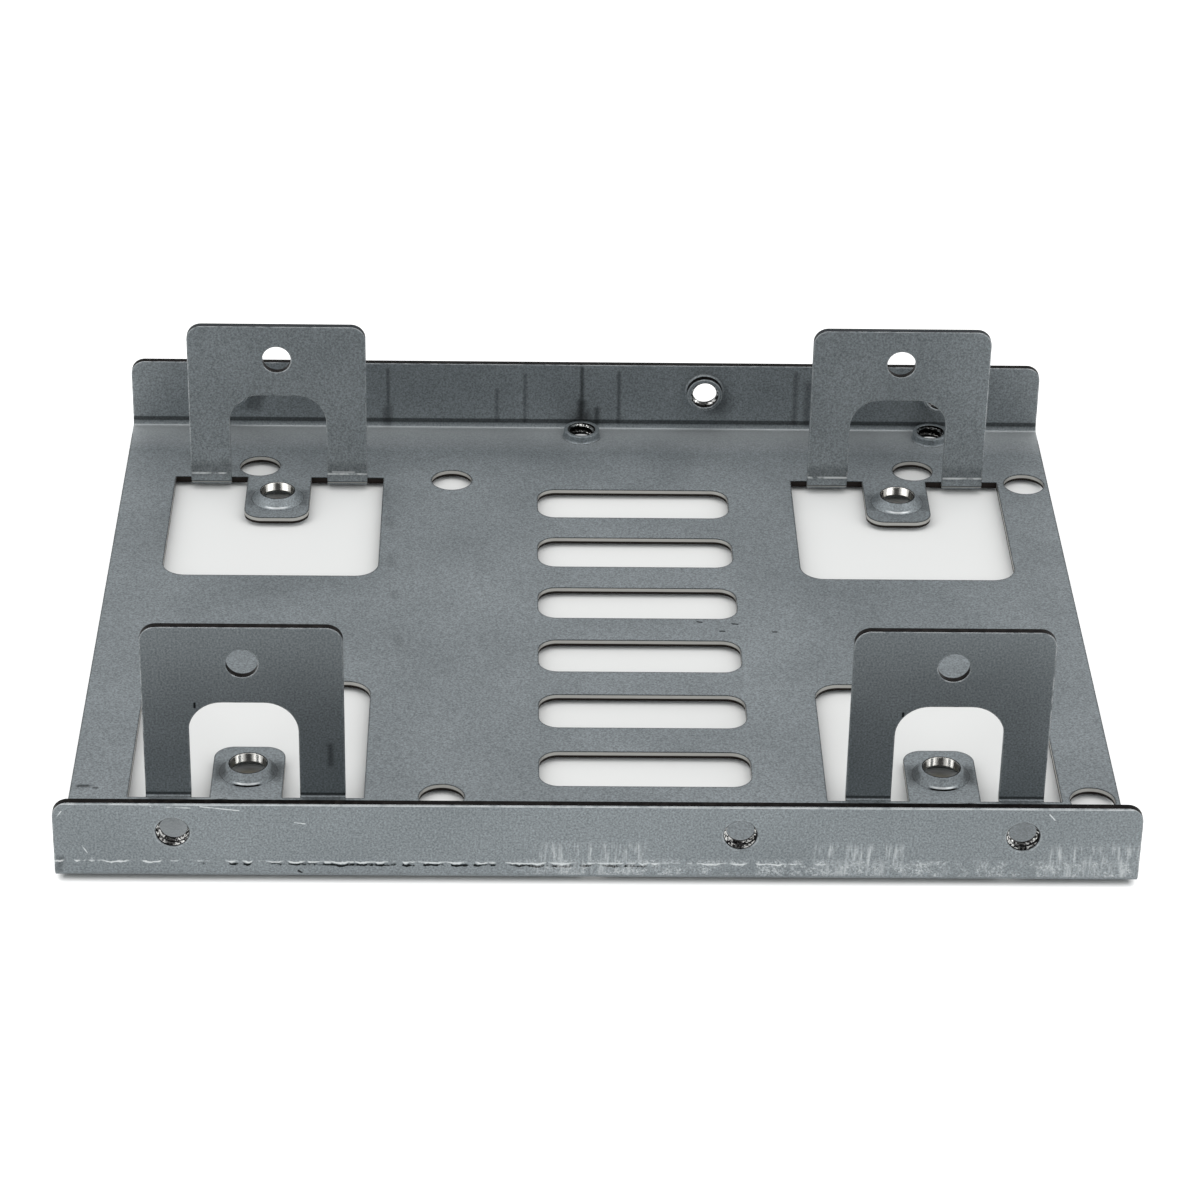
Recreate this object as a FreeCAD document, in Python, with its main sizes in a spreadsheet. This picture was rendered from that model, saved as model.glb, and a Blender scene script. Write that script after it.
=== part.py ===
# A folded sheet-steel bracket that carries a narrow drive in a wider drive bay.
# A channel with two flanges holds four ears, folded up out of windows in its plate. Each ear has an
# arch over a tongue, which stays flat and has a screw hole in a raised boss.
# The origin is on the underside, at the middle of the plate. +X runs along the drive, +Y points to
# the back flange and +Z points up. The bracket is alike front and back, so its back half is built
# and then mirrored.

import FreeCAD
import Part
import Sketcher
import os

# Driving dimensions in millimetres
sizes = {
    "sheet_thickness": 0.8,
    # the channel: a plate as wide as the bay, with a flange along each long side
    "plate_length": 115.2,
    "bay_width": 101.6,
    "flange_height": 9.7,
    "flange_corner_radius": 1.7,
    "flange_bend_radius": 0.6,
    # the drive between the ears: its screw holes lie in a rectangle under it and in pairs on its sides
    "drive_hole_spacing": 76.6,
    "drive_hole_width": 61.72,
    "ear_gap": 70.1,
    "ear_width": 21.8,
    "ear_height": 22.3,
    "ear_corner_radius": 1.8,
    "ear_bend_radius": 0.25,
    "ear_hole_height": 17.8,
    "ear_hole_radius": 1.75,
    # the share of the sheet's thickness, from the inside of a bend, that keeps its flat length
    "neutral_fibre_share": 0.4,
    # the cut around each ear and tongue
    "cut_gap": 2.0,
    "bend_relief": 0.05,
    "window_corner_radius": 2.8,
    "arch_corner_radius": 3.7,
    # the tongues and the cones pressed up around their screw holes
    "tongue_width": 7.9,
    "tongue_end_margin": 4.95,
    "tongue_end_gap": 2.5,
    "tongue_corner_radius": 2.2,
    "boss_bore_radius": 2.05,
    "boss_lip_radius": 2.25,
    "boss_base_radius": 3.15,
    "boss_height": 1.05,
    "boss_bore_height": 1.1,
    "boss_recess_radius": 2.7,
    # the threaded holes for the bay's screws, each drawn out into a short collar
    "collar_bore_radius": 1.75,
    "collar_radius": 2.25,
    "collar_height": 1.0,
    "collar_root_radius": 0.25,
    "collar_edge_radius": 0.1,
    "collar_entry_radius": 0.2,
    "collar_lip_radius": 0.1,
    "flange_hole_height": 6.0,
    "flange_hole_x_left": -45.0,
    "flange_hole_x_middle": 15.0,
    "flange_hole_x_right": 45.0,
    "plate_hole_x": -0.6,
    "plate_hole_spacing": 44.45,
    "plate_hole_width": 95.25,
    # the row of slots across the middle
    "slot_count": 6,
    "slot_pitch": 12.0,
    "slot_length": 23.5,
    "slot_width": 7.0,
    "slot_corner_radius": 2.2,
    "slot_centre_x": 5.55,
    # plain round holes: a square of four that a small fan fits, and one behind each ear
    "round_hole_radius": 2.5,
    "fan_hole_spacing": 71.5,
    "fan_hole_end_margin": 3.0,
    "ear_round_hole_x": 40.9,
    "ear_round_hole_y": 39.0,
}

document = FreeCAD.newDocument("DriveBayBracket")
sheet = document.addObject("Spreadsheet::Sheet", "Sizes")
for row, (name, size) in enumerate(sizes.items(), start=1):
    sheet.set(f"A{row}", name)
    sheet.set(f"B{row}", str(size))
    sheet.setAlias(f"B{row}", name)
document.recompute()

# Places that follow from the driving dimensions, as expressions over the sheet
sheet_top = "Sizes.sheet_thickness"
flange_outer_face = "Sizes.bay_width / 2"
flange_inner_face = "(Sizes.bay_width / 2 - Sizes.sheet_thickness)"
ear_inner_face = "Sizes.ear_gap / 2"
ear_outer_face = "(Sizes.ear_gap / 2 + Sizes.sheet_thickness)"
ear_outer_bend = "(Sizes.ear_bend_radius + Sizes.sheet_thickness)"
bend_length = "(pi / 2 * (Sizes.ear_bend_radius + Sizes.neutral_fibre_share * Sizes.sheet_thickness))"
# the line where an ear's bend runs out into the flat plate
fold_line = f"({ear_outer_face} + Sizes.ear_bend_radius)"
window_outer_edge = f"({fold_line} + Sizes.bend_relief)"
# an ear laid flat reaches this far in, and the cut runs past it
flat_ear_end = f"({fold_line} - {bend_length} - (Sizes.ear_height - {ear_outer_bend}))"
window_inner_edge = f"({flat_ear_end} - Sizes.cut_gap)"
window_half_width = "(Sizes.ear_width / 2 + Sizes.cut_gap)"
arch_half_width = "(Sizes.tongue_width / 2 + Sizes.cut_gap)"
tongue_end = "(Sizes.drive_hole_width / 2 - Sizes.tongue_end_margin)"
# the arch is the cut around the tongue, stood up with the ear
arch_top = f"({ear_outer_bend} + {fold_line} - {bend_length} - {tongue_end} + Sizes.tongue_end_gap)"
# the fan's holes keep their place by the plate's right end
fan_hole_right = "(Sizes.plate_length / 2 - Sizes.fan_hole_end_margin)"

body = document.addObject("PartDesign::Body", "Bracket")
body.Label = "bracket"
body.Placement = FreeCAD.Placement()


def evaluate(expression):
    return float(sheet.evalExpression(expression))


def origin_plane(role):
    return next(feature for feature in body.Origin.OriginFeatures if feature.Role == role)


def new_sketch(name, role, offset=("0", "0", "0"), turn=0):
    """A sketch on an origin plane, with its own origin moved along the plane's axes by the offset and
    its own axes turned in the plane by an angle in degrees."""
    sketch = body.newObject("Sketcher::SketchObject", name)
    sketch.AttachmentSupport = [(origin_plane(role), "")]
    sketch.MapMode = "FlatFace"
    rotation = FreeCAD.Rotation(FreeCAD.Vector(0, 0, 1), turn)
    sketch.AttachmentOffset = FreeCAD.Placement(FreeCAD.Vector(), rotation)
    for axis, expression in zip("xyz", offset):
        sketch.setExpression(f"AttachmentOffset.Base.{axis}", expression)
    return sketch


def bind(sketch, constraint, expression):
    index = sketch.addConstraint(constraint)
    sketch.setExpression(f"Constraints[{index}]", expression)


def add_outline(sketch, edges):
    """A closed outline of upright and level lines, in order. Each edge is the axis that it holds to,
    its place on that axis, and the radius of the corner at its end, or None where that is sharp."""
    count = len(edges)
    places = [evaluate(place) for axis, place, radius in edges]
    radii = [evaluate(radius) if radius else 0.0 for axis, place, radius in edges]
    corners = []
    for now in range(count):
        after = (now + 1) % count
        if edges[now][0] == "x":
            corners.append(FreeCAD.Vector(places[now], places[after], 0))
        else:
            corners.append(FreeCAD.Vector(places[after], places[now], 0))
    ways = [(corners[now] - corners[now - 1]).normalize() for now in range(count)]

    lines = []
    for now, (axis, place, radius) in enumerate(edges):
        start = corners[now - 1] + ways[now] * radii[now - 1]
        end = corners[now] - ways[now] * radii[now]
        line = sketch.addGeometry(Part.LineSegment(start, end), False)
        sketch.addConstraint(Sketcher.Constraint("Vertical" if axis == "x" else "Horizontal", line))
        distance = "DistanceX" if axis == "x" else "DistanceY"
        bind(sketch, Sketcher.Constraint(distance, -1, 1, line, 1, places[now]), place)
        lines.append(line)

    for now, (axis, place, radius) in enumerate(edges):
        after = (now + 1) % count
        if not radius:
            sketch.addConstraint(Sketcher.Constraint("Coincident", lines[now], 2, lines[after], 1))
            continue
        start = corners[now] - ways[now] * radii[now]
        end = corners[now] + ways[after] * radii[now]
        circle = Part.Circle(start + ways[after] * radii[now], FreeCAD.Vector(0, 0, 1), radii[now])
        ends = [circle.parameter(start), circle.parameter(end)]
        first, last = 1, 2
        if ways[now].cross(ways[after]).z < 0:
            ends.reverse()
            first, last = 2, 1
        arc = sketch.addGeometry(Part.ArcOfCircle(circle, *ends), False)
        sketch.addConstraint(Sketcher.Constraint("Tangent", lines[now], 2, arc, first))
        sketch.addConstraint(Sketcher.Constraint("Tangent", arc, last, lines[after], 1))
        bind(sketch, Sketcher.Constraint("Radius", arc, radii[now]), radius)


def add_polygon(sketch, corners):
    """A closed outline of straight lines from corner to corner. Each corner is an x and a y."""
    places = [FreeCAD.Vector(evaluate(x), evaluate(y), 0) for x, y in corners]
    ends = places[1:] + places[:1]
    lines = [sketch.addGeometry(Part.LineSegment(*pair), False) for pair in zip(places, ends)]
    for now, (x, y) in enumerate(corners):
        line = lines[now]
        sketch.addConstraint(Sketcher.Constraint("Coincident", lines[now - 1], 2, line, 1))
        bind(sketch, Sketcher.Constraint("DistanceX", -1, 1, line, 1, places[now].x), x)
        bind(sketch, Sketcher.Constraint("DistanceY", -1, 1, line, 1, places[now].y), y)


def add_circle(sketch, centre_x, centre_y, radius):
    centre = FreeCAD.Vector(evaluate(centre_x), evaluate(centre_y), 0)
    circle = Part.Circle(centre, FreeCAD.Vector(0, 0, 1), evaluate(radius))
    index = sketch.addGeometry(circle, False)
    bind(sketch, Sketcher.Constraint("DistanceX", -1, 1, index, 3, centre.x), centre_x)
    bind(sketch, Sketcher.Constraint("DistanceY", -1, 1, index, 3, centre.y), centre_y)
    bind(sketch, Sketcher.Constraint("Radius", index, circle.Radius), radius)


def pad(name, sketch, length, side="One side"):
    feature = body.newObject("PartDesign::Pad", name)
    feature.Profile = sketch
    feature.SideType = side
    feature.setExpression("Length", length)
    return feature


def pocket_through(name, sketch):
    feature = body.newObject("PartDesign::Pocket", name)
    feature.Profile = sketch
    feature.SideType = "Symmetric"
    feature.Type = "ThroughAll"
    return feature


def revolve(kind, name, sketch):
    """A full turn about the sketch's upright axis."""
    feature = body.newObject(f"PartDesign::{kind}", name)
    feature.Profile = sketch
    feature.ReferenceAxis = (sketch, ["V_Axis"])
    feature.Angle = 360
    return feature


def pressed_boss(name, centre):
    """A cone pressed up out of a tongue, with a screw hole whose foot widens into the cone's hollow
    underside. In the sketches x is the radius and y is the height."""
    place = (centre, "0", "-Sizes.drive_hole_width / 2")
    bore = "Sizes.boss_bore_radius"
    recess = "Sizes.boss_recess_radius"
    rim = f"({sheet_top} + Sizes.boss_height)"
    clear = "Sizes.sheet_thickness"

    section = new_sketch(f"{name}Section", "XZ_Plane", place)
    add_polygon(section, [
        ("0", f"{sheet_top} / 2"),
        ("Sizes.boss_base_radius", f"{sheet_top} / 2"),
        ("Sizes.boss_base_radius", sheet_top),
        ("Sizes.boss_lip_radius", rim),
        ("0", rim),
    ])
    revolve("Revolution", f"{name}Cone", section)

    opening = new_sketch(f"{name}Opening", "XZ_Plane", place)
    add_polygon(opening, [
        ("0", f"-{clear}"),
        (recess, f"-{clear}"),
        (recess, "0"),
        (bore, f"{rim} - Sizes.boss_bore_height"),
        (bore, f"{rim} + {clear}"),
        ("0", f"{rim} + {clear}"),
    ])
    revolve("Groove", f"{name}Bore", opening)


def collared_hole(name, role, offset, turn=0):
    """A hole whose rim is drawn out of the sheet into a collar. In the sketches x is the radius, and y
    runs from the sheet's outer face through the sheet and along the collar."""
    bore = "Sizes.collar_bore_radius"
    outside = "Sizes.collar_radius"
    root = "Sizes.collar_root_radius"
    entry = "Sizes.collar_entry_radius"
    lip = "Sizes.collar_lip_radius"
    rim = f"({sheet_top} + Sizes.collar_height)"
    clear = "Sizes.sheet_thickness"
    margin = "Sizes.bend_relief"

    section = new_sketch(f"{name}Section", role, offset, turn)
    add_outline(section, [
        ("y", f"{sheet_top} / 2", None),
        ("x", f"{outside} + {root} + {margin}", None),
        ("y", sheet_top, root),
        ("x", outside, "Sizes.collar_edge_radius"),
        ("y", rim, None),
        ("x", "0", None),
    ])
    revolve("Revolution", f"{name}Rim", section)

    opening = new_sketch(f"{name}Opening", role, offset, turn)
    add_outline(opening, [
        ("y", f"-{clear}", None),
        ("x", f"{bore} + {entry} + {margin}", None),
        ("y", "0", entry),
        ("x", bore, lip),
        ("y", rim, None),
        ("x", f"{bore} + {lip} + {margin}", None),
        ("y", f"{rim} + {clear}", None),
        ("x", "0", None),
    ])
    revolve("Groove", f"{name}Bore", opening)


def folded_ear(name, centre):
    """An ear with its window, arch, tongue and screw holes, about the upright plane x = centre."""
    window_sketch = new_sketch(f"{name}WindowSketch", "XY_Plane")
    add_outline(window_sketch, [
        ("y", window_inner_edge, "Sizes.window_corner_radius"),
        ("x", f"{centre} + {window_half_width}", None),
        ("y", window_outer_edge, None),
        ("x", f"{centre} - {window_half_width}", "Sizes.window_corner_radius"),
    ])
    pocket_through(f"{name}Window", window_sketch)

    # an angle section, padded over the whole window and then trimmed to the ear's outline
    section = new_sketch(f"{name}Section", "YZ_Plane", ("0", "0", centre))
    add_outline(section, [
        ("y", "0", None),
        ("x", f"{window_outer_edge} + {sheet_top}", None),
        ("y", sheet_top, "Sizes.ear_bend_radius"),
        ("x", ear_outer_face, None),
        ("y", "Sizes.ear_height", None),
        ("x", ear_inner_face, ear_outer_bend),
    ])
    pad(f"{name}Blank", section, f"2 * {window_half_width}", "Symmetric")

    outline = new_sketch(f"{name}Outline", "XZ_Plane", ("0", "0", f"-{ear_inner_face}"))
    below = "-Sizes.sheet_thickness"
    add_outline(outline, [
        ("y", f"2 * {below}", None),
        ("x", f"{centre} + {window_half_width}", None),
        ("y", "Sizes.ear_height + Sizes.cut_gap", None),
        ("x", f"{centre} - {window_half_width}", None),
    ])
    add_outline(outline, [
        ("y", below, None),
        ("x", f"{centre} + Sizes.ear_width / 2", "Sizes.ear_corner_radius"),
        ("y", "Sizes.ear_height", "Sizes.ear_corner_radius"),
        ("x", f"{centre} - Sizes.ear_width / 2", None),
        ("y", below, None),
        ("x", f"{centre} - {arch_half_width}", "Sizes.arch_corner_radius"),
        ("y", arch_top, "Sizes.arch_corner_radius"),
        ("x", f"{centre} + {arch_half_width}", None),
    ])
    add_circle(outline, centre, "Sizes.ear_hole_height", "Sizes.ear_hole_radius")
    trim = body.newObject("PartDesign::Pocket", f"{name}Trim")
    trim.Profile = outline
    trim.setExpression("Length", f"{window_outer_edge} - {ear_inner_face}")

    tongue_sketch = new_sketch(f"{name}TongueSketch", "XY_Plane")
    add_outline(tongue_sketch, [
        ("y", tongue_end, "Sizes.tongue_corner_radius"),
        ("x", f"{centre} + Sizes.tongue_width / 2", None),
        ("y", f"{window_outer_edge} + {sheet_top}", None),
        ("x", f"{centre} - Sizes.tongue_width / 2", "Sizes.tongue_corner_radius"),
    ])
    pad(f"{name}Tongue", tongue_sketch, sheet_top)
    pressed_boss(f"{name}Boss", centre)


# The back half of the channel, bent from one strip
channel_sketch = new_sketch("ChannelSection", "YZ_Plane")
add_outline(channel_sketch, [
    ("y", "0", "Sizes.flange_bend_radius + Sizes.sheet_thickness"),
    ("x", flange_outer_face, None),
    ("y", "Sizes.flange_height", None),
    ("x", flange_inner_face, "Sizes.flange_bend_radius"),
    ("y", sheet_top, None),
    ("x", "0", None),
])
channel = pad("Channel", channel_sketch, "Sizes.plate_length", "Symmetric")
document.recompute()

# The flange's upper corners are rounded
corner_edges = []
for number, edge in enumerate(channel.Shape.Edges, start=1):
    along = edge.Vertexes[-1].Point - edge.Vertexes[0].Point
    across_sheet = abs(along.x) < 1e-6 and abs(along.z) < 1e-6
    if across_sheet and abs(edge.CenterOfMass.z - evaluate("Sizes.flange_height")) < 1e-6:
        corner_edges.append(f"Edge{number}")
corners = body.newObject("PartDesign::Fillet", "FlangeCorners")
corners.Base = (channel, corner_edges)
corners.setExpression("Radius", "Sizes.flange_corner_radius")

# A row of slots across the middle of the plate. It is alike about the mirror plane
slot_sketch = new_sketch("SlotSketch", "XY_Plane")
first_slot = "(Sizes.slot_count - 1) * Sizes.slot_pitch / 2"
slot_radius = "Sizes.slot_corner_radius"
add_outline(slot_sketch, [
    ("y", f"{first_slot} - Sizes.slot_width / 2", slot_radius),
    ("x", "Sizes.slot_centre_x + Sizes.slot_length / 2", slot_radius),
    ("y", f"{first_slot} + Sizes.slot_width / 2", slot_radius),
    ("x", "Sizes.slot_centre_x - Sizes.slot_length / 2", slot_radius),
])
slot = pocket_through("Slot", slot_sketch)
slots = body.newObject("PartDesign::LinearPattern", "Slots")
slots.Originals = [slot]
slots.Direction = (slot_sketch, ["V_Axis"])
slots.Reversed = True
slots.Mode = "Spacing"
slots.setExpression("Offset", "Sizes.slot_pitch")
slots.setExpression("Occurrences", "Sizes.slot_count")
body.Tip = slots

folded_ear("LeftEar", "-Sizes.drive_hole_spacing / 2")
folded_ear("RightEar", "Sizes.drive_hole_spacing / 2")

round_hole_sketch = new_sketch("RoundHoleSketch", "XY_Plane")
for centre_x, centre_y in (
    ("-Sizes.ear_round_hole_x", "Sizes.ear_round_hole_y"),
    ("Sizes.ear_round_hole_x", "Sizes.ear_round_hole_y"),
    (f"{fan_hole_right} - Sizes.fan_hole_spacing", "Sizes.fan_hole_spacing / 2"),
    (fan_hole_right, "Sizes.fan_hole_spacing / 2"),
):
    add_circle(round_hole_sketch, centre_x, centre_y, "Sizes.round_hole_radius")
pocket_through("RoundHoles", round_hole_sketch)

plate_holes = {
    "PlateHoleLeft": "Sizes.plate_hole_x",
    "PlateHoleRight": "Sizes.plate_hole_x + Sizes.plate_hole_spacing",
}
for name, centre in plate_holes.items():
    collared_hole(name, "XZ_Plane", (centre, "0", "-Sizes.plate_hole_width / 2"))

# The flange's collars point in over the plate
flange_holes = {
    "FlangeHoleLeft": "Sizes.flange_hole_x_left",
    "FlangeHoleMiddle": "Sizes.flange_hole_x_middle",
    "FlangeHoleRight": "Sizes.flange_hole_x_right",
}
for name, centre in flange_holes.items():
    place = (centre, flange_outer_face, "Sizes.flange_hole_height")
    collared_hole(name, "XY_Plane", place, turn=180)

# The back half is computed first, because the mirror reads its shape
document.recompute()
whole = body.newObject("PartDesign::Mirrored", "WholeBracket")
whole.TransformMode = "Whole shape"
whole.MirrorPlane = (origin_plane("XZ_Plane"), [""])
body.Tip = whole
document.recompute()

# Nothing is written unless every object of the document is sound
failed = [thing.Name for thing in document.Objects if {"Invalid", "Error"} & set(thing.State)]
if failed:
    raise RuntimeError(f"these objects failed: {failed}")
if body.Shape.isNull() or not body.Shape.isValid() or len(body.Shape.Solids) != 1:
    raise RuntimeError("the bracket is not one sound solid")
os.makedirs("parts", exist_ok=True)
body.Shape.exportStep(f"parts/{body.Label}.step")
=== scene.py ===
# A drive bay adapter bracket, folded from one zinc-plated steel sheet.
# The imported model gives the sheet. This scene adds its finish, the cut threads in its ten collars,
# a white card to stand on, soft lamps and a camera. Lengths are in millimetres unless a note says otherwise.
import math
import bmesh
import bpy
import numpy as np
from mathutils import Matrix


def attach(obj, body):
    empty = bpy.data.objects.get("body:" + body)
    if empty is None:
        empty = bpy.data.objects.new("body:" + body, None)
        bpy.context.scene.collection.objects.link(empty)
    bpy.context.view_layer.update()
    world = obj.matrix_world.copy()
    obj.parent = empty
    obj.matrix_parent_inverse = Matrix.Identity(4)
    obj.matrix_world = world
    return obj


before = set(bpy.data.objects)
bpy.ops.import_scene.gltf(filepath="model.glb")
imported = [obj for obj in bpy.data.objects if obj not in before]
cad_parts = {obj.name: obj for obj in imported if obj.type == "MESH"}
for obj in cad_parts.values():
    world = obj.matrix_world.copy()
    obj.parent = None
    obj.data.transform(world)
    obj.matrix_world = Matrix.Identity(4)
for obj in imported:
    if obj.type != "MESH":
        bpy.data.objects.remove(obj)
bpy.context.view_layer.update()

millimetre = 0.001


# sRGB hex to the linear colour that a shader socket takes
def linearColour(hexText):
    parts = [int(hexText[i:i + 2], 16) / 255 for i in (1, 3, 5)]
    return [p / 12.92 if p <= 0.04045 else ((p + 0.055) / 1.055) ** 2.4 for p in parts] + [1.0]


# adds one node, gives it its settings, fills or joins each socket named, and returns the output asked for
def addNode(tree, kind, sockets=None, out=0, **settings):
    node = tree.nodes.new("ShaderNode" + kind)
    for name, value in settings.items():
        setattr(node, name, value)
    for key, value in (sockets or {}).items():
        if isinstance(value, bpy.types.NodeSocket):
            tree.links.new(value, node.inputs[key])
        else:
            node.inputs[key].default_value = value
    return node if out is None else node.outputs[out]


def emptyMaterial(name):
    material = bpy.data.materials.new(name)
    material.use_nodes = True
    material.node_tree.nodes.clear()
    return material, material.node_tree


# puts an object at spot, in millimetres, with its own x, y and z axes along the three given
def standAt(thing, spot, axes):
    stand = np.eye(4)
    stand[:3] = np.stack([*axes, np.array(spot) * millimetre], -1)
    thing.matrix_world = Matrix(stand.tolist())
    bpy.context.scene.collection.objects.link(thing)


# a mesh object from grids of points, patches by rows by columns by 3: each point is joined to the next in its
# row and in its column, and a row's last to its first; points that fall together, as at a pole, are merged
def gridObject(name, points):
    patches, rows, columns = points.shape[:3]
    patch, row, column = np.meshgrid(np.arange(patches), np.arange(rows - 1), np.arange(columns),
                                     indexing="ij")
    here, beside = patch * rows * columns + row * columns, (column + 1) % columns
    faces = np.stack([here + column, here + beside, here + columns + beside, here + columns + column], -1)
    mesh = bpy.data.meshes.new(name)
    mesh.from_pydata(points.reshape(-1, 3).tolist(), [], faces.reshape(-1, 4).tolist())
    form = bmesh.new()
    form.from_mesh(mesh)
    bmesh.ops.remove_doubles(form, verts=form.verts, dist=1e-6)
    bmesh.ops.recalc_face_normals(form, faces=form.faces)
    form.to_mesh(mesh)
    form.free()
    thing = bpy.data.objects.new(name, mesh)
    bpy.context.scene.collection.objects.link(thing)
    return thing


# The camera stands in front, a little over 30 degrees up, and is turned and tipped by about a degree.
camera = {"lens": 121.575, "sensor": 36.0, "nearest": 0.01, "elevation": 30.66, "turn": 1.507, "tip": 1.163,
          "aside": 1.03, "above": 4.084, "distance": 475.2}
elevation, turn, tip = (math.radians(camera[k]) for k in ("elevation", "turn", "tip"))
forward = np.array([math.sin(turn) * math.cos(elevation), math.cos(turn) * math.cos(elevation),
                    -math.sin(elevation)])
level = np.array([math.cos(turn), -math.sin(turn), 0.0])
upright = np.cross(level, forward)
across = math.cos(tip) * level + math.sin(tip) * upright
upward = math.cos(tip) * upright - math.sin(tip) * level
eye = camera["aside"] * across + camera["above"] * upward - camera["distance"] * forward
cameraData = bpy.data.cameras.new("camera")
cameraData.lens = camera["lens"]
cameraData.sensor_width = camera["sensor"]
cameraData.clip_start = camera["nearest"]
cameraObject = bpy.data.objects.new("camera", cameraData)
standAt(cameraObject, eye, (across, upward, -forward))
bpy.context.scene.camera = cameraObject
print("camera placed at", (eye * millimetre).round(4).tolist())


# 1 for rays from the camera, from a mirror or through glass, which see a surface and don't light anything
def seenMask(tree):
    rays = addNode(tree, "LightPath", out=None).outputs
    seen = addNode(tree, "Math", {0: rays["Is Camera Ray"], 1: rays["Is Glossy Ray"]}, operation="ADD")
    return addNode(tree, "Math", {0: seen, 1: rays["Is Transmission Ray"]}, operation="ADD", use_clamp=True)


# White card, a little below the bracket. It is lit like the bracket, and the camera sees a little light of
# its own from it, so that open card is white. The card under the bracket has none, and keeps its shade in
# the windows. Under each of the four bosses, where it shows through their holes, it has a painted shadow.
# The card is a disc, made of rings of points.
table = {"rings": (2500.0, 400.0, 100.0, 0.0), "sides": 96, "drop": 0.5,
         "card": "#edeeed", "shaded": "#979388", "lift": 0.5, "under": (56.6, 49.6, 99.0), "fade": 1.2,
         "bosses": (38.3, 30.86, 0.0), "bossShade": (2.0, 2.9)}
angle = np.linspace(0, 2 * np.pi, table["sides"] + 1)[:-1]
radius = np.array(table["rings"])[:, None]
depth = np.full((len(radius), len(angle)), -table["drop"])
floorPoints = np.stack([radius * np.cos(angle), radius * np.sin(angle), depth], -1) * millimetre
floor = gridObject("table", floorPoints[None])
whiteCard, tree = emptyMaterial("white_card")
place = addNode(tree, "TexCoord", out="Object")
place = addNode(tree, "VectorMath", {0: place, 3: 1 / millimetre}, operation="SCALE")
fromMiddle = addNode(tree, "VectorMath", {0: place}, operation="ABSOLUTE")
beyond = addNode(tree, "VectorMath", {0: fromMiddle, 1: table["under"]}, operation="SUBTRACT")
beyond = addNode(tree, "VectorMath", {0: beyond, 1: (0, 0, 0)}, operation="MAXIMUM")
beyond = addNode(tree, "VectorMath", {0: beyond}, "Value", operation="LENGTH")
openCard = addNode(tree, "MapRange", {0: beyond, 2: table["fade"], 4: table["lift"]},
                   interpolation_type="SMOOTHSTEP")
lift = addNode(tree, "Math", {0: seenMask(tree), 1: openCard}, operation="MULTIPLY")
# painted shadow: the card is darker round each boss's middle, where the tongue above would shade it
fromBoss = addNode(tree, "VectorMath", {0: fromMiddle, 1: table["bosses"]}, "Value", operation="DISTANCE")
fromBoss = addNode(tree, "MapRange", {0: fromBoss, 1: table["bossShade"][0], 2: table["bossShade"][1]})
card = addNode(tree, "Mix", {0: fromBoss, 6: linearColour(table["shaded"]), 7: linearColour(table["card"])},
               2, data_type="RGBA")
card = addNode(tree, "BsdfDiffuse", {"Color": card})
glow = addNode(tree, "Emission", {"Strength": lift})
addNode(tree, "OutputMaterial", {"Surface": addNode(tree, "AddShader", {0: card, 1: glow})}, out=None)
floor.data.materials.append(whiteCard)

# A white room with a dim place where the camera stands, seen in the steel only, and four soft boxes: two
# overhead and two low at the front corners. Each box has its place, its side and its power in watts.
room = {"light": 0.5, "seen": 1.0, "dim": 0.08, "camera": (0.0, -0.86, 0.51), "dimEdge": (0.93, 0.97),
        "boxes": {"left_overhead": ((-350.0, -20.0, 930.0), 550.0, 1.6),
                  "right_overhead": ((350.0, -20.0, 930.0), 550.0, 1.6),
                  "left_front": ((-700.0, -500.0, 510.0), 600.0, 2.4),
                  "right_front": ((700.0, -500.0, 510.0), 600.0, 2.4)}}
world = bpy.data.worlds.new("white_room")
world.use_nodes = True
tree = world.node_tree
tree.nodes.clear()
glossy = addNode(tree, "LightPath", out="Is Glossy Ray")
way = addNode(tree, "TexCoord", out="Generated")
nearCamera = addNode(tree, "VectorMath", {0: way, 1: room["camera"]}, "Value", operation="DOT_PRODUCT")
bright = addNode(tree, "MapRange", {0: nearCamera, 1: room["dimEdge"][0], 2: room["dimEdge"][1],
                                    3: room["seen"], 4: room["dim"]})
bright = addNode(tree, "Mix", {0: glossy, 2: room["seen"], 3: bright})
strength = addNode(tree, "Mix", {0: seenMask(tree), 2: room["light"], 3: bright})
background = addNode(tree, "Background", {"Color": (1, 1, 1, 1), "Strength": strength})
addNode(tree, "OutputWorld", {"Surface": background}, out=None)
bpy.context.scene.world = world
for name, (spot, boxSide, power) in room["boxes"].items():
    lamp = bpy.data.lights.new(name, "AREA")
    lamp.shape = "SQUARE"
    lamp.size = boxSide * millimetre
    lamp.energy = power
    back = np.array(spot) / np.linalg.norm(spot)
    side = np.cross([0.0, 0.0, 1.0], back)
    side /= np.linalg.norm(side)
    standAt(bpy.data.objects.new(name, lamp), spot, (side, np.cross(back, side), back))
bpy.context.scene.view_settings.view_transform = "Standard"
print("card, room and soft boxes ready")


# 1 where value lies between low and high, fading to 0 over soft on each side
def bandMask(tree, value, low, high, soft):
    rise = addNode(tree, "MapRange", {0: value, 1: low - soft, 2: low}, interpolation_type="SMOOTHSTEP")
    fall = addNode(tree, "MapRange", {0: value, 1: high, 2: high + soft, 3: 1.0, 4: 0.0},
                   interpolation_type="SMOOTHSTEP")
    return addNode(tree, "Math", {0: rise, 1: fall}, operation="MULTIPLY")


# several masks or distances made one: their product, or the greatest or the least of them
def joinMasks(tree, masks, operation="MULTIPLY"):
    whole = masks[0]
    for mask in masks[1:]:
        whole = addNode(tree, "Math", {0: whole, 1: mask}, operation=operation)
    return whole


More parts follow.
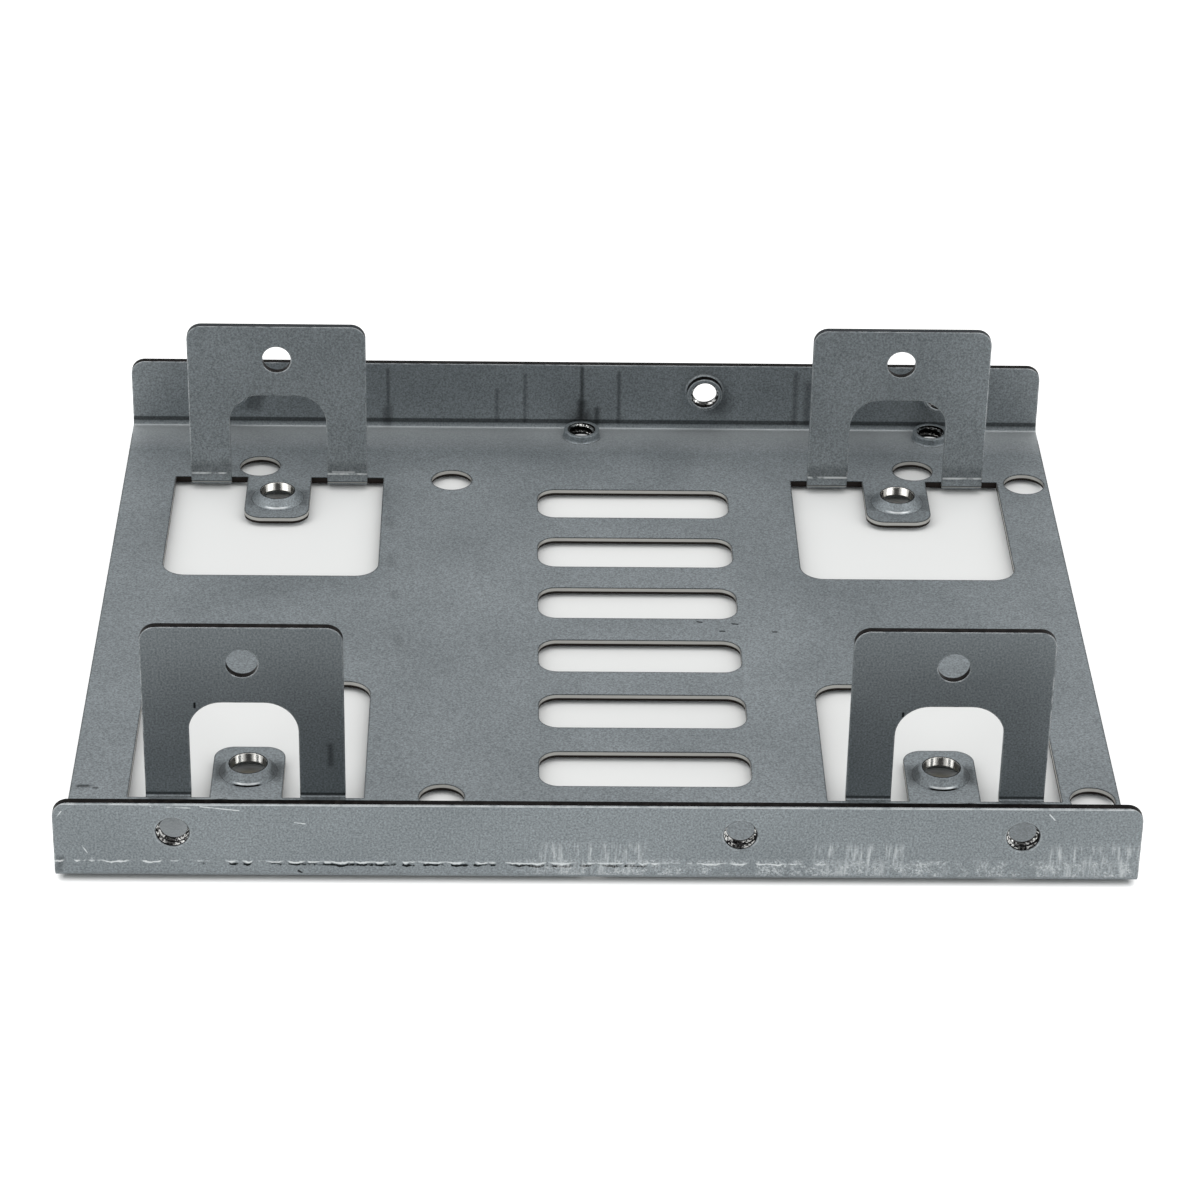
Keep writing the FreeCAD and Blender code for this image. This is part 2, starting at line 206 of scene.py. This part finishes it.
# each stroke's strength along its straight line from start to end, fading to 0 from its inner to its outer
# half width; the share of the way is cut off by two plain nodes, as clamped ones would all wait for each
# other and run the renderer out of room
def strokesMask(tree, place, strokes):
    whole = None
    for start, end, inner, outer, strength in strokes:
        reach = np.subtract(end, start)
        offset = addNode(tree, "VectorMath", {0: place, 1: start}, operation="SUBTRACT")
        share = addNode(tree, "VectorMath", {0: offset, 1: reach / reach.dot(reach)}, "Value",
                        operation="DOT_PRODUCT")
        share = addNode(tree, "Math", {0: share, 1: 1.0}, operation="MINIMUM")
        share = addNode(tree, "Math", {0: share, 1: 0.0}, operation="MAXIMUM")
        nearest = addNode(tree, "VectorMath", {0: reach, 3: share}, operation="SCALE")
        distance = addNode(tree, "VectorMath", {0: offset, 1: nearest}, "Value", operation="DISTANCE")
        mask = addNode(tree, "MapRange", {0: distance, 1: inner, 2: outer, 3: strength, 4: 0.0},
                       interpolation_type="SMOOTHSTEP")
        whole = joinMasks(tree, [whole, mask], "MAXIMUM") if whole else mask
    return whole


# Zinc-plated cold-rolled steel sheet: a dull, slightly blue grey metal with a fine matt grain.
# The sheared walls are bare steel: smooth and bright where the punch rubbed, dark and rough where they tore.
# Its edges are rolled over, with painted highlights and painted dark lines along them, and the flanges are
# scratched by the bay.
# The real grain is finer than 0.1 mm. It is drawn at 0.22 mm, as it wouldn't show otherwise.
# The bright colour is laid for real wear and for painted light and highlights; deep for dirt and nicks and
# for painted shade; rolled for the rolled-over edges and for painted shade; blackEdge for the sheared edges
# and for painted shade in the bores and at the bosses' feet.
zinc = {
    "tone": "#888e91", "dark": "#7b8184", "bare": "#b4b3af", "torn": "#2c2826", "rolledEdgeAndShade": "#3c4143",
    "blackEdge": "#0a0707", "greyEdge": "#34373a", "bright": "#d2d5d6", "deep": "#202223",
    "cloudSize": 14.0, "grainSize": 0.22, "grainDepth": 0.32, "grainHeight": 0.02, "grainStrength": 0.4,
    "roughness": 0.62, "roughnessSpread": 0.04, "rimSize": 0.24, "rimSamples": 3, "lipTilt": 0.6,
}
# half widths from full to nothing, and strengths, of the marks below
strokeWidths = {"scratches": (0.02, 0.09, 1.0), "nicks": (0.06, 0.2, 1.0), "faint": (0.0, 1.1, 0.15)}
# marks on the surface, each from one point to another
marks = {
    "scratches": [
        ((-47.2, -50.8, 9.3), (-43.0, -50.8, 9.1)), ((-42.0, -50.8, 9.3), (-37.8, -50.8, 8.8)),
        ((-32.1, -50.8, 7.35), (-31.0, -50.8, 7.2)), ((-12.0, -50.8, 8.6), (-11.0, -50.8, 8.4)),
        ((47.6, -50.8, 8.9), (48.2, -50.8, 8.2)), ((-54.8, -50.8, 4.6), (-53.6, -50.8, 2.6)),
        ((-57.3, -50.7, 7.6), (-56.6, -50.8, 8.6)), ((-31.7, 35.05, 2.2), (-29.0, 35.05, 2.2)),
    ],
    "nicks": [
        ((-43.5, -35.85, 12.7), (-43.5, -35.85, 12.2)), ((33.1, -35.85, 12.0), (33.1, -35.85, 11.6)),
        ((-31.8, -50.8, 1.2), (-31.5, -50.75, 0.95)), ((12.5, 1.8, 0.8), (13.0, 1.7, 0.8)),
        ((15.1, -0.3, 0.8), (15.6, -0.3, 0.8)), ((16.6, 1.4, 0.8), (17.2, 1.3, 0.8)),
        ((21.3, -0.4, 0.8), (21.7, -0.4, 0.8)),
    ],
    "faint": [
        ((-25.1, 33.1, 0.8), (-24.9, 31.0, 0.8)), ((-24.5, 26.0, 0.8), (-24.4, 24.5, 0.8)),
        ((-23.9, 16.8, 0.8), (-23.7, 14.8, 0.8)), ((-23.3, 8.0, 0.8), (-23.2, 6.8, 0.8)),
        ((-22.7, -1.8, 0.8), (-22.5, -3.8, 0.8)), ((-49.9, 41.7, 0.8), (-45.3, 37.9, 0.8)),
        ((-44.4, 38.9, 0.8), (-42.4, 36.1, 0.8)), ((-57.5, -34.2, 0.8), (-55.8, -34.2, 0.8)),
    ],
}
# painted light on the plate behind the front flange's outer holes, where it lies in shade, each with its
# inner and outer half width and its strength
paintedLightSpots = [
    ((-46.0, -42.5, 0.8), (-44.0, -42.5, 0.8), 2.5, 9.0, 0.34),
    ((44.0, -42.5, 0.8), (46.0, -42.5, 0.8), 2.5, 9.0, 0.14),
]
# soft dark smears, each with its half width and its strength; a few of them are painted shadows, as marked
smudgesAndPaintedShadows = [
    ((-57.2, -50.5, 1.2), (-56.9, -50.8, 2.6), 0.7, 0.5),
    ((-28.95, -35.85, 5.0), (-28.95, -35.85, 7.4), 0.6, 0.5),
    ((-56.7, -34.05, 0.8), (-55.7, -34.0, 0.8), 0.5, 0.8),
    ((-55.0, -34.4, 0.8), (-54.7, -34.4, 0.8), 0.35, 0.7),
    # the two on the next line are a painted shadow beside the back flange's left collar
    ((-42.6, 50.0, 3.6), (-42.2, 50.0, 4.6), 1.2, 0.4), ((-42.0, 50.0, 3.4), (-41.6, 50.0, 5.0), 1.4, 0.4),
    ((-25.2, 50.0, 4.0), (-25.2, 50.0, 8.8), 0.4, 0.5), ((-25.3, 50.0, 1.4), (-25.2, 50.0, 3.2), 1.1, 0.5),
    ((-11.4, 50.0, 1.6), (-11.4, 50.0, 6.0), 0.5, 0.35), ((-7.8, 50.0, 1.6), (-7.8, 50.0, 8.2), 0.45, 0.4),
    ((-0.55, 50.0, 4.6), (-0.6, 50.0, 9.2), 0.45, 0.7), ((-0.65, 50.0, 2.2), (-0.6, 50.0, 4.4), 0.9, 0.8),
    ((-0.9, 50.0, 1.4), (-0.4, 50.0, 2.4), 1.6, 0.6), ((1.4, 50.0, 1.4), (1.4, 50.0, 3.4), 0.6, 0.6),
    # the second on the next line, round the back flange's middle hole, is a painted shadow
    ((4.15, 50.0, 1.6), (4.1, 50.0, 8.6), 0.45, 0.5), ((15.9, 50.0, 5.6), (16.8, 50.0, 4.2), 2.9, 0.5),
    ((26.6, 50.0, 1.6), (26.6, 50.0, 8.6), 0.6, 0.4), ((28.2, 50.0, 1.6), (28.2, 50.0, 7.0), 0.9, 0.4),
    ((-31.0, 50.0, 1.6), (-31.0, 50.0, 6.0), 0.8, 0.4),
]
boss = {"x": 38.3, "y": 30.86, "bore": 2.05, "base": 3.15}
collar = {"flangeX": (-45.0, 15.0, 45.0), "flangeY": 50.8, "flangeZ": 6.0, "plateX": (-0.6, 43.85),
          "plateY": 47.625, "bore": 1.75}

# The finish is built from named parts, each a number over the surface: measures, noises, readings of them,
# zones and blends. A noise's scale is how many of its cells a millimetre holds. Some are stretched, by more
# cells along one axis than another, so that the streaks stand upright.
noises = {
    "clouds": {"Scale": 1 / zinc["cloudSize"], "Detail": 3.0},
    "grain": {"Scale": 1 / zinc["grainSize"], "Detail": 2.0, "Roughness": 0.6},
    "rubbing": {"Scale": 0.9, "Detail": 3.0},
    "breaking": {"Scale": 0.8, "Detail": 4.0},
    "tearing": {"Scale": 1.6, "Detail": 3.0},
    "dragging": {"Scale": 1.0, "Detail": 3.0, "Roughness": 0.6},
    "dusting": {"Scale": 1.0, "Detail": 3.0, "Roughness": 0.7},
}
stretches = {"dragging": (3.4, 0.3, 0.4), "dusting": (4.5, 0.5, 4.0)}
# between the two ends of what is read, the reading goes from its first value to its second
readings = {
    "tone": ("clouds", (0.3, 0.7), (0.0, 1.0)),
    "roughness": ("clouds", (0.3, 0.7), (zinc["roughness"] - zinc["roughnessSpread"],
                                         zinc["roughness"] + zinc["roughnessSpread"])),
    "grainTone": ("grain", (0.3, 0.7), (1 - zinc["grainDepth"], 1 + zinc["grainDepth"])),
    "chips": ("rubbing", (0.34, 0.54), (0.0, 1.0)),
    "edgeChips": ("chips", (0.0, 1.0), (0.35, 0.8)),
    "foldWave": ("breaking", (0.2, 0.8), (-0.3, 0.3)),
    "foldBreaks": ("breaking", (0.42, 0.55), (0.0, 1.0)),
    "foldGaps": ("breaking", (0.46, 0.54), (0.0, 1.0)),
    "scratchBreaks": ("breaking", (0.4, 0.5), (0.0, 1.0)),
    "shear": ("tearing", (0.45, 0.75), (0.0, 0.6)),
    "streakTone": ("dragging", (0.46, 0.72), (0.0, 0.6)),
    "dustTone": ("dusting", (0.44, 0.68), (0.0, 0.8)),
    # painted light on the plate beside the folds
    "paintedLightByFolds": ("halfY", (43.0, 49.3), (0.0, 0.5)),
    # painted shade on the front ears, growing towards their tops
    "paintedShadeHeight": ("z", (9.0, 16.0), (0.0, 0.2)),
    "rimTurn": ("turned", (0.997, 0.93), (0.0, 1.0)),
    "wideRimTurn": ("turned", (0.9985, 0.96), (0.0, 1.0)),
    "lipLean": ("bossAlong", (1.15, 1.45), (0.0, zinc["lipTilt"])),
}

# Zones are bands of the measures: low, high, and how far each fades beyond them. x, y and z are places, and
# halfY is how far a place is from the middle. up, sideY and sideZ are how far the surface faces that way.
# The measures named for a boss or a bore are taken from the middle of the nearest one.
faces, edgeOn, far = (0.9, 2, 0.1), (-1, 0.3, 0.2), 99
zones = {
    "onPlate": {"up": faces, "z": (0.7, 0.9, 0.05)},
    "awayFromFolds": {"halfY": (-1, 47, 0.5)},
    # where painted shade lies on the tongues beside the bosses and on the front bosses' slopes
    "besideBoss": {"bossSide": (3.0, 3.5, 0.5), "bossAlong": (-1, 1.4, 1.2)},
    "bossSlopes": {"bossSide": (2.7, 3.4, 0.8), "bossAlong": (-1, 0.8, 1.6), "z": (0.7, 1.4, 0.3),
                   "y": (-far, 0, 0.1)},
    "upright": {"sideY": faces, "z": (1.9, far, 0.1)},
    "frontEars": {"y": (-36.0, -34.9, 0.1)},
    "plateWall": {"sideZ": edgeOn, "z": (-1, 0.83, 0.03), "halfY": (-1, 49.2, 0.1)},
    "rubbedHeight": {"z": (0.34, 0.7, 0.05)},
    "rolledHeight": {"z": (0.75, 2, 0.03)},
    "byEarFolds": {"halfY": (36.1, 36.2, 0.05)},
    "topEdge": {"sideY": edgeOn, "z": (1.95, far, 0.05), "up": (0.3, 2, 0.3)},
    "backEarTops": {"y": (34.5, 36.5, 0.2), "z": (20, far, 0.1)},
    "bossBore": {"bossRadius": (-1, boss["bore"] + 0.03, 0.05), "z": (0.78, 2, 0.03), "sideZ": edgeOn},
    # painted shade as a dark line round each boss's lip, a painted highlight near its foot in front and
    # behind, and painted shade as a dark line at the near foot of the front bosses
    "paintedBossLipShade": {"bossRadius": (boss["bore"] - 0.02, boss["bore"] + 0.1, 0.05), "z": (1.72, 2, 0.05)},
    "paintedBossHighlight": {"bossRadius": (boss["base"] - 0.22, boss["base"] - 0.14, 0.05),
                  "bossSide": (-1, 0.6, 1.2), "z": (0.82, 1.2, 0.05)},
    "paintedBossFootShade": {"bossRadius": (boss["base"] - 0.06, boss["base"] + 0.1, 0.05),
                 "bossSide": (-1, 1.2, 0.6), "z": (0.7, 0.9, 0.05), "y": (-far, -33.3, 0.2)},
    "flangeBore": {"flangeBoreRadius": (-1, collar["bore"] + 0.1, 0.05), "sideY": (-1, 0.3, 0.3),
                   "halfY": (48.9, 51, 0.1)},
    "plateBore": {"plateBoreRadius": (-1, collar["bore"] + 0.1, 0.05), "sideZ": (-1, 0.3, 0.3),
                  "z": (-1, 1.9, 0.1)},
    # painted shade: a dark line over the top of each flange hole's rim, on the outer faces
    "flangeHoleTops": {"flangeBoreRadius": (collar["bore"] - 0.02, collar["bore"] + 0.09, 0.05),
                       "halfY": (50.7, far, 0.05), "z": (6.4, far, 0.8)},
    "onFlange": {"halfY": (50.7, far, 0.05), "z": (0.8, 9.6, 0.3)},
    "foldLine": {"x": (-55.0, 20.0, 12.0), "foldHeight": (2.36, 2.44, 0.1)},
    "blackLine": {"x": (-42.0, 4.0, 3.0), "foldHeight": (1.98, 2.2, 0.06)},
    "edgeHeight": {"z": (9.46, 9.54, 0.06)},
    "streakHeight": {"z": (1.2, 4.4, 1.0)},
    "draggedMiddle": {"x": (-6.2, 4.5, 1.0)},
    "draggedRight": {"x": (23.4, 32.0, 1.0)},
    "draggedEnd": {"x": (47.9, 57.8, 1.0)},
    "dustPlace": {"x": (-2.0, far, 10.0), "z": (1.0, 2.5, 0.7)},
    "onLeg": {"halfY": (34.9, 35.2, 0.05), "sideY": (0.5, 2, 0.2)},
    # low on the ears' legs: a painted highlight along the fold and painted shade above it
    "creaseHeight": {"z": (2.3, 2.9, 1.2)},
    "creaseEdge": {"z": (1.85, 2.0, 0.1)},
    # the inner folds and bend, where painted shade lies
    "flangeFold": {"halfY": (49.9, 50.1, 0.05), "z": (1.45, 1.8, 0.2)},
    "earFold": {"halfY": (35.8, 36.1, 0.05), "z": (1.0, 1.25, 0.1)},
    "innerBend": {"halfY": (49.4, 50.1, 0.1), "z": (0.95, 1.4, 0.1)},
}

# Blends join parts, or a part and a strength. The flanges have a broken light line along the fold, a broken
# dark line just below it, a painted highlight under the top edge, and dust and upright streaks where the
# bay's screws drag. Painted light lies on the plate beside its folds and behind the front flange's outer
# holes, and painted shade on the front ears, darker towards their tops.
blends = {
    # painted shade: a dark line along the plate's rolled-over edges, away from the folds
    "paintedPlateRimShade": ("MULTIPLY", "wideRimTurn", "onPlate", "awayFromFolds"),
    # painted highlight along the rims of the upright faces, broken by chips
    "paintedRimHighlight": ("MULTIPLY", "rimTurn", "upright", "chips"),
    # painted light on the plate beside its folds and behind the front flange's outer holes
    "paintedLight": ("MAXIMUM", "paintedLightByFolds", "paintedLightSpots"),
    "paintedLightOnPlate": ("MULTIPLY", "paintedLight", "onPlate"),
    # painted shade on the front ears, darker towards their tops
    "paintedShadeOnFrontEars": ("MULTIPLY", "paintedShadeHeight", "upright", "frontEars"),
    # painted shade in the inner bends and in the inner corners of the folds
    "paintedBendShade": ("MULTIPLY", "innerBend", 0.4),
    "foldEdges": ("MAXIMUM", "flangeFold", "earFold"),
    "paintedFoldShade": ("MULTIPLY", "foldEdges", 0.7),
    "foldBright": ("MULTIPLY", "foldLine", "onFlange", "foldBreaks"),
    "foldDark": ("MULTIPLY", "blackLine", "onFlange", "foldGaps"),
    # painted highlight under the flanges' top edge, broken by chips
    "paintedEdgeHighlight": ("MULTIPLY", "edgeHeight", "onFlange", "edgeChips"),
    "dragged": ("MAXIMUM", "draggedMiddle", "draggedRight", "draggedEnd"),
    "streaks": ("MULTIPLY", "streakTone", "dragged", "onFlange", "streakHeight"),
    "dust": ("MULTIPLY", "dustTone", "onFlange", "foldBreaks", "dustPlace"),
    # a painted highlight along the legs' folds, and painted shade on the legs above them
    "paintedLegFoldHighlight": ("MULTIPLY", "creaseEdge", "onLeg", "chips"),
    "paintedLegShade": ("MULTIPLY", "creaseHeight", "onLeg", 0.3),
    # painted shade beside the bosses and on the front bosses' slopes
    "paintedShadeBesideBoss": ("MULTIPLY", "besideBoss", "onPlate", 0.4),
    "paintedShadeOnBossSlopes": ("MULTIPLY", "bossSlopes", 0.6),
    "brokenScratches": ("MULTIPLY", "scratches", "scratchBreaks"),
    # real smears and faint marks, together with painted shadow and painted shade
    "dirtAndPaintedShade": ("MAXIMUM", "smudgesAndPaintedShadows", "faint", "paintedLegShade", "paintedShadeBesideBoss", "paintedShadeOnBossSlopes"),
    # real scratches, streaks and dust, together with painted highlights
    "lines": ("MAXIMUM", "paintedRimHighlight", "foldBright", "paintedEdgeHighlight", "paintedLegFoldHighlight", "brokenScratches", "streaks",
              "dust", "paintedBossHighlight"),
    "wearAndPaintedHighlights": ("MULTIPLY", "lines", 0.75),
    "rubbedWall": ("MULTIPLY", "plateWall", "rubbedHeight"),
    "rolledWall": ("MULTIPLY", "plateWall", "rolledHeight"),
    "foldWall": ("MULTIPLY", "plateWall", "byEarFolds"),
    "backEarEdge": ("MULTIPLY", "topEdge", "backEarTops"),
    # painted shade in the collars' bores, behind the thread ridges
    "paintedShadeInBores": ("MAXIMUM", "flangeBore", "plateBore"),
    # painted shade over the top of each flange hole
    "paintedHoleEdgeShade": ("MULTIPLY", "flangeHoleTops", 0.6),
    "lean": ("MULTIPLY", "bossBore", "lipLean"),
}
# the finish, with its painted light and shade, laid over the sheet's own tone, each over those before it
layers = (("paintedLightOnPlate", "bright"), ("paintedBendShade", "rolledEdgeAndShade"), ("paintedShadeOnFrontEars", "rolledEdgeAndShade"), ("dirtAndPaintedShade", "deep"),
          ("paintedFoldShade", "deep"), ("foldDark", "deep"), ("paintedBossFootShade", "blackEdge"), ("paintedPlateRimShade", "deep"),
          ("paintedBossLipShade", "deep"), ("paintedHoleEdgeShade", "deep"), ("wearAndPaintedHighlights", "bright"), ("nicks", "deep"),
          ("plateWall", "torn"), ("rubbedWall", "bare"), ("foldWall", "torn"), ("rolledWall", "rolledEdgeAndShade"),
          ("topEdge", "sheared"), ("backEarEdge", "greyEdge"), ("bossBore", "bare"),
          ("paintedShadeInBores", "blackEdge"))
# and the roughness of those that are smoother than the sheet
smoother = (("wearAndPaintedHighlights", 0.35), ("rubbedWall", 0.4), ("bossBore", 0.16))

steel, tree = emptyMaterial("zinc_plated_steel")
place = addNode(tree, "TexCoord", out="Object")
place = addNode(tree, "VectorMath", {0: place, 3: 1 / millimetre}, operation="SCALE")
facing = addNode(tree, "TexCoord", out="Normal")
part = dict(zip("xyz", addNode(tree, "SeparateXYZ", {0: place}, out=None).outputs))
part["up"] = addNode(tree, "SeparateXYZ", {0: facing}, out="Z")
facingSize = addNode(tree, "VectorMath", {0: facing}, operation="ABSOLUTE")
part["sideY"], part["sideZ"] = addNode(tree, "SeparateXYZ", {0: facingSize}, out=None).outputs[1:]
fromMiddle = addNode(tree, "VectorMath", {0: place}, operation="ABSOLUTE")
part["halfY"] = addNode(tree, "SeparateXYZ", {0: fromMiddle}, out="Y")
fromBoss = addNode(tree, "VectorMath", {0: fromMiddle, 1: (boss["x"], boss["y"], 0.0)}, operation="SUBTRACT")
fromBoss = addNode(tree, "VectorMath", {0: fromBoss, 1: (1.0, 1.0, 0.0)}, operation="MULTIPLY")
part["bossRadius"] = addNode(tree, "VectorMath", {0: fromBoss}, "Value", operation="LENGTH")
fromBoss = addNode(tree, "VectorMath", {0: fromBoss}, operation="ABSOLUTE")
part["bossSide"], part["bossAlong"] = addNode(tree, "SeparateXYZ", {0: fromBoss}, out=None).outputs[:2]
throughFlange = addNode(tree, "CombineXYZ", {0: part["x"], 1: part["z"]})
throughPlate = addNode(tree, "CombineXYZ", {0: part["x"], 1: part["halfY"]})
for name, through, middles, height in (
        ("flangeBoreRadius", throughFlange, collar["flangeX"], collar["flangeZ"]),
        ("plateBoreRadius", throughPlate, collar["plateX"], collar["plateY"])):
    distances = [addNode(tree, "VectorMath", {0: through, 1: (middle, height, 0)}, "Value",
                         operation="DISTANCE") for middle in middles]
    part[name] = joinMasks(tree, distances, "MINIMUM")

# the rims are found where a small bevel would turn the surface; turned is 1 where it wouldn't
bevelled = addNode(tree, "Bevel", {"Radius": zinc["rimSize"] * millimetre}, samples=zinc["rimSamples"])
flat = addNode(tree, "NewGeometry", out="True Normal")
part["turned"] = addNode(tree, "VectorMath", {0: bevelled, 1: flat}, "Value", operation="DOT_PRODUCT")
for name, settings in noises.items():
    stretched = place
    if name in stretches:
        stretched = addNode(tree, "VectorMath", {0: place, 1: stretches[name]}, operation="MULTIPLY")
    part[name] = addNode(tree, "TexNoise", {"Vector": stretched, **settings})
for name, (source, (low, high), (first, second)) in readings.items():
    part[name] = addNode(tree, "MapRange", {0: part[source], 1: low, 2: high, 3: first, 4: second})
part["foldHeight"] = addNode(tree, "Math", {0: part["z"], 1: part["foldWave"]}, operation="ADD")
for name, bands in zones.items():
    part[name] = joinMasks(tree, [bandMask(tree, part[measure], *band) for measure, band in bands.items()])
for name, lines in marks.items():
    part[name] = strokesMask(tree, place, [(*ends, *strokeWidths[name]) for ends in lines])
part["paintedLightSpots"] = strokesMask(tree, place, paintedLightSpots)
part["smudgesAndPaintedShadows"] = strokesMask(tree, place, [(start, end, 0.0, *rest) for start, end, *rest in smudgesAndPaintedShadows])
for name, (operation, *factors) in blends.items():
    part[name] = joinMasks(tree, [part.get(factor, factor) for factor in factors], operation)

finishes = {name: linearColour(value) for name, value in zinc.items() if isinstance(value, str)}
finishes["sheared"] = addNode(tree, "Mix", {0: part["shear"], 6: finishes["blackEdge"], 7: finishes["torn"]},
                              2, data_type="RGBA")
colour = addNode(tree, "Mix", {0: part["tone"], 6: finishes["dark"], 7: finishes["tone"]}, 2,
                 data_type="RGBA")
colour = addNode(tree, "VectorMath", {0: colour, 3: part["grainTone"]}, operation="SCALE")
for name, finish in layers:
    colour = addNode(tree, "Mix", {0: part[name], 6: colour, 7: finishes[finish]}, 2, data_type="RGBA")
roughness = part["roughness"]
for name, value in smoother:
    roughness = addNode(tree, "Mix", {0: part[name], 2: roughness, 3: value})

# the lips of the boss bores are turned outward, so that they mirror the lamps at the front corners
lean = addNode(tree, "CombineXYZ", {2: part["lean"]})
leaning = addNode(tree, "VectorMath", {0: bevelled, 1: lean}, operation="ADD")
leaning = addNode(tree, "VectorMath", {0: leaning}, operation="NORMALIZE")
bump = addNode(tree, "Bump", {"Height": part["grain"], "Distance": zinc["grainHeight"] * millimetre,
                              "Strength": zinc["grainStrength"], "Normal": leaning})
shader = addNode(tree, "BsdfPrincipled", {"Base Color": colour, "Metallic": 1.0, "Roughness": roughness,
                                          "Normal": bump})
addNode(tree, "OutputMaterial", {"Surface": shader}, out=None)
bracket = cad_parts["bracket"]
bracket.data.materials.clear()
bracket.data.materials.append(steel)
print("zinc finish laid on the bracket,", len(tree.nodes), "nodes")


# The ten collars' threads, cut right-handed for 6-32 screws. The ridge's section is a flat-topped V whose
# foot lies in the collar's wall. footHalf and crestHalf are half its width there and at its top, footDip is
# how much wider it is where it is sunk, and fade is how much of a turn it takes to grow.
thread = {"sunk": 0.06, "height": 0.25, "pitch": 0.794, "start": 0.3, "end": 1.65, "fade": 0.2,
          "steps": 48, "crestHalf": 0.1, "footHalf": 0.25, "footDip": 0.03}


# the ridge in one collar: at t turns the section has moved on by t pitches, and it grows out of a point in
# the wall, and back into one, over the first and last part of a turn
def threadRidge(foot, axis):
    turns = (thread["end"] - thread["start"]) / thread["pitch"]
    t = np.linspace(0, turns, round(turns * thread["steps"]))[:, None]
    size = np.clip(np.minimum(t, turns - t) / thread["fade"], 0, 1)
    size = size * size * (3 - 2 * size)
    inward = np.array([0.0, thread["sunk"], thread["sunk"] + thread["height"]])
    half = np.array([thread["footHalf"] + thread["footDip"], thread["footHalf"], thread["crestHalf"]])
    inward, side = np.append(inward, inward[::-1]), np.append(-half, half[::-1])
    radius = collar["bore"] + thread["sunk"] - size * inward
    height = thread["start"] + thread["pitch"] * t + size * side
    right = np.array([1.0, 0.0, 0.0])
    turn = 2 * np.pi * t[..., None]
    across = np.cos(turn) * right + np.sin(turn) * np.cross(axis, right)
    return (np.array(foot) + radius[..., None] * across + height[..., None] * np.array(axis)) * millimetre


ridges = [threadRidge((x, side * collar["flangeY"], collar["flangeZ"]), (0.0, -side, 0.0))
          for x in collar["flangeX"] for side in (-1.0, 1.0)]
ridges += [threadRidge((x, side * collar["plateY"], 0.0), (0.0, 0.0, 1.0))
           for x in collar["plateX"] for side in (-1.0, 1.0)]
threads = gridObject("collar_threads", np.stack(ridges))
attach(threads, "root")

# Cut steel: the flanks, which face along the bore, have a painted highlight, broken into streaks, and the
# crests and roots are painted dark as shade. The plate's collars lie lower than split, and the flanges'
# higher.
cut = {"bright": "#c4c4c2", "dark": "#1b1c1c", "streak": 0.25, "worn": (0.44, 0.58), "flankGlint": (0.4, 0.8),
       "roughFrom": (0.3, 0.7), "roughness": (0.3, 0.12), "split": 3.5}
cutSteel, tree = emptyMaterial("cut_thread_steel")
place = addNode(tree, "TexCoord", out="Object")
place = addNode(tree, "VectorMath", {0: place, 3: 1 / millimetre}, operation="SCALE")
z = addNode(tree, "SeparateXYZ", {0: place}, out="Z")
facing = addNode(tree, "VectorMath", {0: addNode(tree, "TexCoord", out="Normal")}, operation="ABSOLUTE")
sideY, sideZ = addNode(tree, "SeparateXYZ", {0: facing}, out=None).outputs[1:]
alongBore = addNode(tree, "Mix", {0: bandMask(tree, z, cut["split"], far, 0.5), 2: sideZ, 3: sideY})
streaky = addNode(tree, "TexNoise", {"Vector": place, "Scale": 1 / cut["streak"], "Detail": 2.0})
worn = addNode(tree, "MapRange", {0: streaky, 1: cut["worn"][0], 2: cut["worn"][1]})
# painted highlight on the thread faces that look along the bore
flankGlint = addNode(tree, "MapRange", {0: alongBore, 1: cut["flankGlint"][0], 2: cut["flankGlint"][1]})
share = joinMasks(tree, [worn, flankGlint])
colour = addNode(tree, "Mix", {0: share, 6: linearColour(cut["dark"]), 7: linearColour(cut["bright"])}, 2,
                 data_type="RGBA")
roughness = addNode(tree, "MapRange", {0: streaky, 1: cut["roughFrom"][0], 2: cut["roughFrom"][1],
                                       3: cut["roughness"][0], 4: cut["roughness"][1]})
shader = addNode(tree, "BsdfPrincipled", {"Base Color": colour, "Metallic": 1.0, "Roughness": roughness})
addNode(tree, "OutputMaterial", {"Surface": shader}, out=None)
threads.data.materials.append(cutSteel)
print("threads cut in", len(ridges), "collars,", len(threads.data.polygons), "faces")
